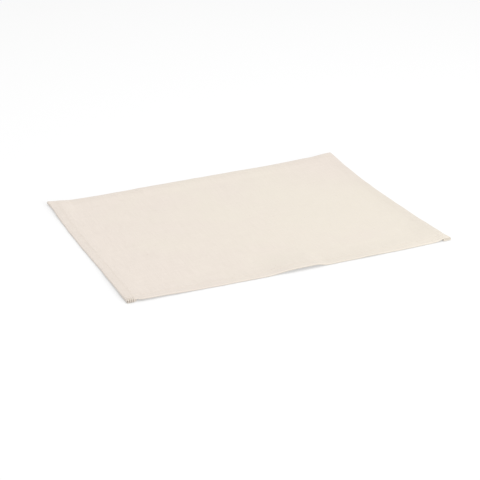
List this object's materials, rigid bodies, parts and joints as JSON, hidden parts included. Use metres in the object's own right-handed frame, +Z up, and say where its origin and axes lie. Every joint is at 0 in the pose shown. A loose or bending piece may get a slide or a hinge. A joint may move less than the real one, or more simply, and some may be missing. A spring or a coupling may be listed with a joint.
{
  "type": "fabric placemat",
  "caption": "Rectangular cotton canvas placemat, hemmed on all four sides, lying flat with one low wave in its front hem.",
  "frame": {"origin": "middle of the underside, on the table", "axes": "+X along the mat's length to its right end, +Y to its back long side, +Z up from the table"},
  "size_m": [0.4032, 0.3028, 0.0054],
  "materials": {
    "canvas": "natural unbleached cotton canvas, plain weave, matt, with small darker flecks",
    "thread": "natural cotton sewing thread, matt"
  },
  "bodies": {
    "root": {"placemat": "canvas"}
  },
  "joints": []
}
